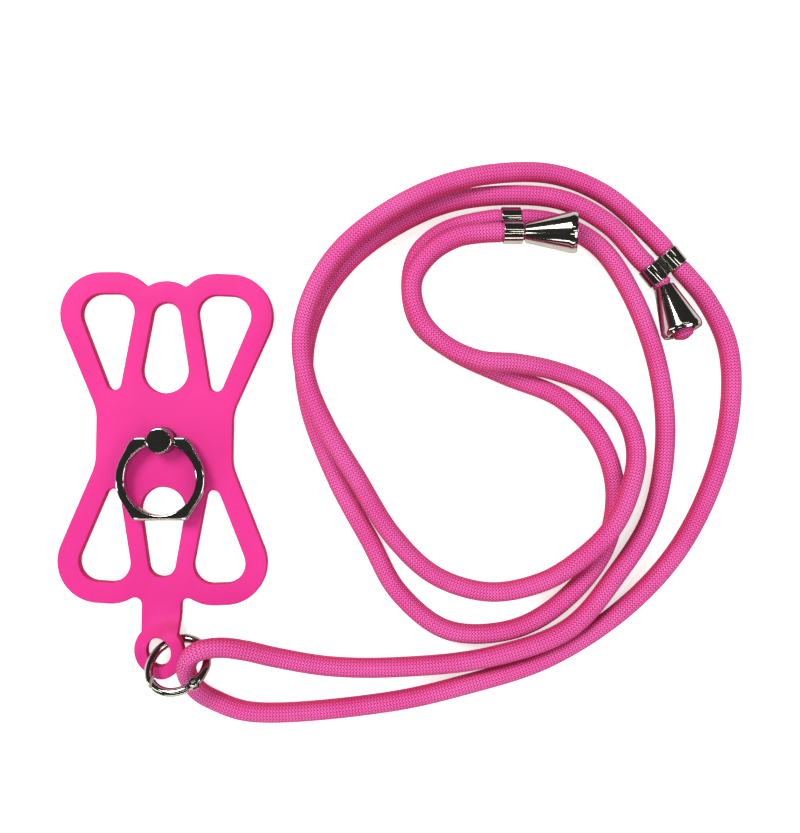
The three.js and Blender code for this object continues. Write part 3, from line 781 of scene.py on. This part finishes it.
def basePlate():
    radius, thickness = mount["plate"]
    profile = roundedProfile([
        (0, 0, 0), (radius, 0, 0.0003), (radius, thickness, 0.0003), (mount["stem"], thickness, 0.0002),
        (mount["stem"], mount["stemTop"], 0.0003), (0, mount["stemTop"], 0),
    ])
    bm = bmesh.new()
    spun(bm, profile, Matrix.Translation(hub), 96)
    return objectFrom("base_plate", meshFrom("base_plate", bm), 40)


def washer():
    radius, foot, thickness = mount["washer"]
    inner = mount["stem"] + 0.0003
    profile = roundedProfile([
        (inner, foot, 0.0001), (radius, foot, 0.00015), (radius, foot + thickness, 0.00015),
        (inner, foot + thickness, 0.0001),
    ])
    bm = bmesh.new()
    spun(bm, profile, Matrix.Translation(hub), 96, closed=True)
    return objectFrom("nylon_washer", meshFrom("nylon_washer", bm), 40)


def hubHead():
    radius, foot, height = mount["hub"]
    bore, roof = mount["bore"]
    profile = roundedProfile([
        (0, roof, 0), (bore, roof, 0.0001), (bore, foot, 0.0001), (radius, foot, 0.00025),
        (radius, foot + height, 0.00055), (0, foot + height, 0),
    ])
    bm = bmesh.new()
    spun(bm, profile, Matrix.Translation(hub), 128)
    made = objectFrom("hub_head", meshFrom("hub_head", bm), 40)
    socket, depth = mount["socket"]
    cutters = bmesh.new()
    for way in (-1, 1):
        start = hub + Vector((way * (radius - depth), 0, mount["pivot"]))
        profile = [(0, 0), (socket, 0), (socket, 0.003), (0, 0.003)]
        spun(cutters, profile, alongAxis(start, Vector((way, 0, 0))), 40)
    cutterObject = objectFrom("socket_cutter", meshFrom("socket_cutter", cutters))
    cut = made.modifiers.new("sockets", "BOOLEAN")
    cut.operation = "DIFFERENCE"
    cut.solver = "EXACT"
    cut.object = cutterObject
    applied(made)
    bpy.data.objects.remove(cutterObject)
    made.data.set_sharp_from_angle(angle=radians(40))
    return made


plateObject = basePlate()
dress(plateObject, steel, "case", "ring_base_plate")
washerObject = washer()
dress(washerObject, nylon, "case", "ring_washer")
hubObject = hubHead()
dress(hubObject, chrome, "hub", "swivel_hub")
print("hub")


# finger ring

fingerRing = {
    "outer": 0.01455,
    "inner": 0.0116,
    "drop": 0.0126,
    "thickness": 0.0030,
    "edgeRound": 0.00055,
    "neck": 0.0011,
    "ear": 0.0045,
    "shoulder": (0.0082, 0.0011),
    "shoulderCorner": (0.0101, -0.0005),
    "roundStarts": radians(33),
    "flatHalf": 0.0088,
    "flatDrop": 0.0260,
    "pin": (0.0009, 0.0029),
}


def fingerRingPiece():
    centreY = -fingerRing["drop"]
    outer = (0, centreY, fingerRing["outer"])
    inner = (0, centreY, fingerRing["inner"])
    facet = -asin((fingerRing["flatDrop"] + centreY) / 2 / fingerRing["outer"])
    ear = fingerRing["ear"]
    innerAngle = acos(ear / fingerRing["inner"])
    half = filletPoint((fingerRing["flatHalf"], -fingerRing["flatDrop"]), (0, -fingerRing["flatDrop"]),
                       arc(outer, facet, facet)[0], 0.0010)
    half += arc(outer, facet + 0.03, fingerRing["roundStarts"] - 0.03)
    roundEnd = half[-1]
    half += filletPoint(fingerRing["shoulderCorner"], roundEnd, fingerRing["shoulder"], 0.0008)
    half += filletPoint(fingerRing["shoulder"], fingerRing["shoulderCorner"],
                        (ear, fingerRing["neck"]), 0.0006)
    half += filletPoint((ear, fingerRing["neck"]), fingerRing["shoulder"], (ear, -0.002), 0.0003)
    half += filletPoint((ear, centreY + inner[2] * sin(innerAngle)), (ear, fingerRing["neck"]),
                        arc(inner, innerAngle - 0.1, innerAngle - 0.1)[0], 0.0003)
    left = [Vector((-p.x, p.y)) for p in reversed(half)]
    # up the right side, back round the inside, then down the left side
    back = arc(inner, innerAngle - 0.05, -pi - innerAngle + 0.05)
    whole = cleaned(half + back + left, 0.00008)
    low = mount["pivot"] - fingerRing["thickness"] / 2
    bm = roundedPlate([whole], low, low + fingerRing["thickness"], fingerRing["edgeRound"], 5)
    bmesh.ops.transform(bm, matrix=Matrix.Translation(hub), verts=bm.verts)
    radius, reach = fingerRing["pin"]
    for way in (-1, 1):
        start = hub + Vector((way * reach, 0, mount["pivot"]))
        length = ear - reach + 0.0004
        profile = roundedProfile([(0, 0, 0), (radius, 0, 0.0002), (radius, length, 0), (0, length, 0)])
        spun(bm, profile, alongAxis(start, Vector((way, 0, 0))), 32)
    return objectFrom("finger_loop", meshFrom("finger_loop", bm), 32)


def filletPoint(corner, before, after, soft, steps=5):
    corner = Vector(corner)
    start = corner + (Vector(before) - corner).normalized() * soft
    end = corner + (Vector(after) - corner).normalized() * soft
    line = []
    for k in range(steps + 1):
        t = k / steps
        line.append(start * (1 - t) ** 2 + corner * 2 * t * (1 - t) + end * t ** 2)
    return line


loopObject = fingerRingPiece()
dress(loopObject, chrome, "ring", "finger_ring")
print("finger ring")


# gate ring, threaded through the tab

gateRing = {
    "centre": Vector((0.0062, -0.07245, 0.0084)),
    "radius": 0.0094,
    "wire": 0.0014,
    "tilt": radians(-46),
    "turn": radians(6),
    "hinge": radians(-50),
    "nose": radians(-144),
    "noseReach": radians(16),
    "noseDepth": 0.008,
    "sliceStep": radians(1.5),
    "sliceHalf": 0.004,
    "boss": (0.0016, 0.0014),
    "tongue": (0.0012, 0.00055),
    "pin": 0.0005,
    "clearance": 0.0003,
}
ringPlace = (Matrix.Translation(hub + gateRing["centre"]) @ Matrix.Rotation(gateRing["turn"], 4, "Z")
             @ Matrix.Rotation(gateRing["tilt"], 4, "X"))


def onRing(angle, radius=None):
    radius = radius or gateRing["radius"]
    return Vector((radius * cos(angle), radius * sin(angle), 0))


def bentWire(bm, start, end, endRounds, sides=36):
    # a stretch of the ring with softly rounded ends
    count = int(abs(end - start) * gateRing["radius"] / 0.0003)
    rings = []
    for i in range(count + 1):
        t = i / count
        angle = start + (end - start) * t
        away = min(t, 1 - t) * abs(end - start) * gateRing["radius"]
        soft = endRounds[0] if t < 0.5 else endRounds[1]
        radius = gateRing["wire"]
        if soft and away < soft:
            radius -= soft * (1 - sqrt(1 - (1 - away / soft) ** 2))
        centre = onRing(angle)
        outward = centre.normalized()
        ring = []
        for k in range(sides):
            turn = 2 * pi * k / sides
            offset = outward * radius * cos(turn) + Vector((0, 0, radius * sin(turn)))
            ring.append(bm.verts.new(centre + offset))
        rings.append(ring)
    bridgeRings(bm, rings)
    bm.faces.new(rings[0])
    bm.faces.new(list(reversed(rings[-1])))


def disc(bm, radius, halfHeight, soft=0.0002):
    profile = roundedProfile([
        (0, -halfHeight, 0), (radius, -halfHeight, soft), (radius, halfHeight, soft), (0, halfHeight, 0),
    ])
    spun(bm, profile, Matrix.Translation(onRing(gateRing["hinge"])), 48)


def cutBy(piece, makers):
    for maker in makers:
        cutter = bmesh.new()
        maker(cutter)
        cutterObject = objectFrom("cutter", meshFrom("cutter", cutter))
        cut = piece.modifiers.new("cut", "BOOLEAN")
        cut.operation = "DIFFERENCE"
        cut.solver = "EXACT"
        cut.object = cutterObject
        applied(piece)
        bpy.data.objects.remove(cutterObject)


def joinedTo(piece, makers):
    for maker in makers:
        extra = bmesh.new()
        maker(extra)
        extraObject = objectFrom("extra", meshFrom("extra", extra))
        join = piece.modifiers.new("join", "BOOLEAN")
        join.operation = "UNION"
        join.solver = "EXACT"
        join.object = extraObject
        applied(piece)
        bpy.data.objects.remove(extraObject)


def noseSlice(bm, inner, outer):
    # a slice of the round that the gate's nose swings along, about the hinge
    hinge = onRing(gateRing["hinge"])
    toNose = onRing(gateRing["nose"]) - hinge
    sweep, heading = toNose.length, atan2(toNose.y, toNose.x)
    steps, step = 12, gateRing["sliceStep"]
    corners = [(outer, k) for k in range(-steps, steps + 1)] + [(inner, steps), (inner, -steps)]
    rings = []
    for z in (-gateRing["sliceHalf"], gateRing["sliceHalf"]):
        ring = []
        for reach, k in corners:
            away = Vector((cos(heading + k * step), sin(heading + k * step), 0)) * (sweep + reach)
            ring.append(bm.verts.new(hinge + away + Vector((0, 0, z))))
        rings.append(ring)
    bridgeRings(bm, rings)
    bm.faces.new(rings[0])
    bm.faces.new(list(reversed(rings[-1])))


def placedOnRing(piece):
    # slivers that the cuts leave are closed first
    bm = bmesh.new()
    bm.from_mesh(piece.data)
    bmesh.ops.remove_doubles(bm, verts=bm.verts, dist=1e-6)
    bmesh.ops.dissolve_degenerate(bm, edges=bm.edges, dist=1e-6)
    bm.to_mesh(piece.data)
    bm.free()
    piece.data.transform(ringPlace)
    piece.data.shade_smooth()
    piece.data.set_sharp_from_angle(angle=radians(40))
    return piece


def ringBody():
    bm = bmesh.new()
    bentWire(bm, gateRing["hinge"], 2 * pi + gateRing["nose"] + gateRing["noseReach"], (0, 0))
    made = objectFrom("gate_ring_loop", meshFrom("gate_ring_loop", bm))
    radius, half = gateRing["boss"]
    tongue, tongueHalf = gateRing["tongue"]
    clearance = gateRing["clearance"]
    joinedTo(made, [lambda b: disc(b, radius, half, 0.0003)])
    cutBy(made, [
        lambda b: disc(b, tongue + 2 * clearance, tongueHalf + clearance, 0),
        lambda b: disc(b, gateRing["pin"] + clearance, half + 0.001, 0),
        lambda b: noseSlice(b, -gateRing["noseDepth"], clearance),
    ])
    return placedOnRing(made)


def gatePiece():
    shoulder = gateRing["hinge"] - (gateRing["boss"][0] + 2 * gateRing["clearance"]) / gateRing["radius"]
    bm = bmesh.new()
    bentWire(bm, gateRing["nose"] - gateRing["noseReach"], shoulder, (0, 0.0003))
    made = objectFrom("gate_bow", meshFrom("gate_bow", bm))
    radius, half = gateRing["tongue"]

    def tongueStrip(b):
        rings = []
        for k in range(7):
            angle = shoulder - radians(4) + (gateRing["hinge"] - shoulder + radians(4)) * k / 6
            outward = onRing(angle).normalized()
            centre = onRing(angle)
            rings.append([b.verts.new(centre + outward * x * radius * 0.8 + Vector((0, 0, z * half)))
                          for x, z in ((-1, -1), (1, -1), (1, 1), (-1, 1))])
        bridgeRings(b, rings)
        b.faces.new(rings[0])
        b.faces.new(list(reversed(rings[-1])))

    joinedTo(made, [tongueStrip, lambda b: disc(b, radius, half, 0.0001)])
    cutBy(made, [
        lambda b: disc(b, gateRing["pin"] + gateRing["clearance"], half + 0.001, 0),
        lambda b: noseSlice(b, 0, gateRing["noseDepth"]),
    ])
    return placedOnRing(made)


def hingePin():
    bm = bmesh.new()
    disc(bm, gateRing["pin"], gateRing["boss"][1], 0.0001)
    return placedOnRing(objectFrom("hinge_rivet", meshFrom("hinge_rivet", bm)))


ringBodyObject = ringBody()
dress(ringBodyObject, chrome, "case", "gate_ring_body")
gateObject = gatePiece()
dress(gateObject, chrome, "gate", "gate_ring_gate")
pinObject = hingePin()
dress(pinObject, steel, "case", "gate_hinge_pin")
print("gate ring")


# clips and bell caps on the cord

clip = {
    "outer": 0.00365,
    "inner": 0.0032,
    "half": 0.0031,
    "rim": 0.00022,
    "web": (0.0029, 0.0017),
}
clipPlaces = [
    ("cord_clip_1", Vector((0.1144, 0.0672, 0.0093)), Vector((0.1144, 0.073, 0.0039)),
     Vector((1, 0, 0))),
    ("cord_clip_2", Vector((0.1677, 0.0598, 0.00375)), Vector((0.1616, 0.0548, 0.00375)),
     Vector((0.63, -0.776, 0))),
]


def clipPiece(name, first, second, along):
    along = along.normalized()
    bm = bmesh.new()
    outer, inner, half, rim = clip["outer"], clip["inner"], clip["half"], clip["rim"]
    for middle in (first, second):
        # a plain barrel with rounded rims
        profile = roundedProfile([
            (inner, -half, rim * 0.5), (outer, -half, rim), (outer, half, rim), (inner, half, rim * 0.5),
        ])
        spun(bm, profile, alongAxis(hub + middle, along), 80, closed=True)
    across = (second - first).normalized()
    up = across.cross(along).normalized()
    centre = hub + (first + second) / 2
    reach, thick = clip["web"]
    width = (second - first).length / 2 - inner - 0.00005
    outline = []
    for x, z in ((-1, -1), (1, -1), (1, 1), (-1, 1)):
        outline.append((x * width, z * thick))
    rings = []
    for y in (-reach, reach):
        rings.append([bm.verts.new(centre + across * x + up * z + along * y) for x, z in outline])
    bridgeRings(bm, rings)
    bm.faces.new(rings[0])
    bm.faces.new(list(reversed(rings[1])))
    return objectFrom(name.replace("cord_", "double_"), meshFrom(name, bm), 40)


bell = {
    "length": 0.0162,
    "narrow": 0.00325,
    "mouth": 0.0068,
    "wall": 0.00075,
    "throat": 0.00265,
    "throatLength": 0.0032,
}
bellPlaces = [
    ("bell_cap_1", Vector((0.1187, 0.0671, 0.0096)), Vector((0.1342, 0.0663, 0.0134))),
    ("bell_cap_2", Vector((0.1656, 0.0479, 0.0049)), Vector((0.1698, 0.0354, 0.0076))),
]


def bellPiece(name, throat, mouth):
    direction = (mouth - throat).normalized()
    foot = hub + mouth - direction * bell["length"]
    length, narrow, wide, wall = bell["length"], bell["narrow"], bell["mouth"], bell["wall"]
    slope = (wide - narrow) / (length - 0.00045)
    profile = roundedProfile([
        (bell["throat"], 0, 0.0002),
        (narrow, 0, 0.0004),
        (wide, length - 0.0009, 0.0012),
        (wide - 0.0005, length, 0.0004),
        (wide - 0.0012, length - 0.0002, 0.0004),
        (narrow + slope * 0.0042 - wall + 0.0002, bell["throatLength"] + 0.0016, 0.0008),
        (bell["throat"], bell["throatLength"], 0.0004),
    ], 7)
    bm = bmesh.new()
    spun(bm, profile, alongAxis(foot, direction), 128, closed=True)
    return objectFrom(name.replace("bell_cap", "cord_bell"), meshFrom(name, bm), 50)


for name, first, second, along in clipPlaces:
    piece = clipPiece(name, first, second, along)
    dress(piece, chrome, "case", name)
for name, throat, mouth in bellPlaces:
    piece = bellPiece(name, throat, mouth)
    dress(piece, chrome, "case", name)
print("fittings")


# floor, lamps and surroundings

def floorMaterial():
    material, tree = newMaterial("white table")
    diffuse = addNode(tree, "ShaderNodeBsdfDiffuse")
    diffuse.inputs["Color"].default_value = (0.90, 0.90, 0.89, 1)
    glow = addNode(tree, "ShaderNodeEmission")
    glow.inputs["Color"].default_value = (1, 1, 0.985, 1)
    seen = addNode(tree, "ShaderNodeLightPath")
    strength = math(tree, "MULTIPLY", seen.outputs["Is Camera Ray"], stageSettings["floorGlow"])
    tree.links.new(strength, glow.inputs["Strength"])
    add = addNode(tree, "ShaderNodeAddShader")
    tree.links.new(diffuse.outputs[0], add.inputs[0])
    tree.links.new(glow.outputs[0], add.inputs[1])
    output = addNode(tree, "ShaderNodeOutputMaterial")
    tree.links.new(add.outputs[0], output.inputs["Surface"])
    return material


stageSettings = {"floorGlow": 0.62, "world": 0.30, "worldGlossy": 0.045, "aim": Vector((0.08, 0, 0))}

floorMesh = bpy.data.meshes.new("floor")
floorMesh.from_pydata([(-3, -3, 0), (3, -3, 0), (3, 3, 0), (-3, 3, 0)], [], [(0, 1, 2, 3)])
floorObject = bpy.data.objects.new("floor", floorMesh)
floorObject.location = (0, 0, -0.0001)
scene.collection.objects.link(floorObject)
floorMesh.materials.append(floorMaterial())

world = bpy.data.worlds.new("studio")
scene.world = world
world.use_nodes = True
worldTree = world.node_tree
worldTree.nodes.clear()
path = addNode(worldTree, "ShaderNodeLightPath")
dim = addNode(worldTree, "ShaderNodeBackground")
dim.inputs["Color"].default_value = (0.9, 0.92, 0.95, 1)
dim.inputs["Strength"].default_value = stageSettings["worldGlossy"]
bright = addNode(worldTree, "ShaderNodeBackground")
bright.inputs["Color"].default_value = (1, 1, 1, 1)
bright.inputs["Strength"].default_value = stageSettings["world"]
mix = addNode(worldTree, "ShaderNodeMixShader")
worldTree.links.new(path.outputs["Is Glossy Ray"], mix.inputs[0])
worldTree.links.new(bright.outputs[0], mix.inputs[1])
worldTree.links.new(dim.outputs[0], mix.inputs[2])
worldOut = addNode(worldTree, "ShaderNodeOutputWorld")
worldTree.links.new(mix.outputs[0], worldOut.inputs["Surface"])


def lamp(name, place, size, energy, color):
    data = bpy.data.lights.new(name, "AREA")
    data.shape = "RECTANGLE"
    data.size, data.size_y = size
    data.energy = energy
    data.color = color
    made = bpy.data.objects.new(name, data)
    made.location = hub + Vector(place)
    direction = stageSettings["aim"] - Vector(place)
    made.rotation_euler = direction.to_track_quat("-Z", "Y").to_euler()
    scene.collection.objects.link(made)
    return made


lamp("soft box", (-0.30, 0.42, 0.62), (0.34, 0.34), 5.5, (1, 0.985, 0.96))
lamp("fill", (0.60, -0.20, 0.55), (0.30, 0.30), 1.9, (1, 0.985, 0.95))
lamp("front strip", (0.08, -0.55, 0.22), (0.80, 0.06), 0.9, (1, 0.98, 0.93))
lamp("upper streak", (0.08, 0.24, 0.62), (0.70, 0.025), 0.35, (1, 0.97, 0.90))
lamp("lower streak", (0.08, -0.20, 0.62), (0.70, 0.025), 0.35, (1, 0.97, 0.90))
lamp("right streak", (0.40, 0.02, 0.60), (0.025, 0.50), 0.30, (1, 0.97, 0.90))
lamp("side strip", (-0.45, -0.10, 0.20), (0.05, 0.50), 0.6, (1, 0.98, 0.93))


print("done")
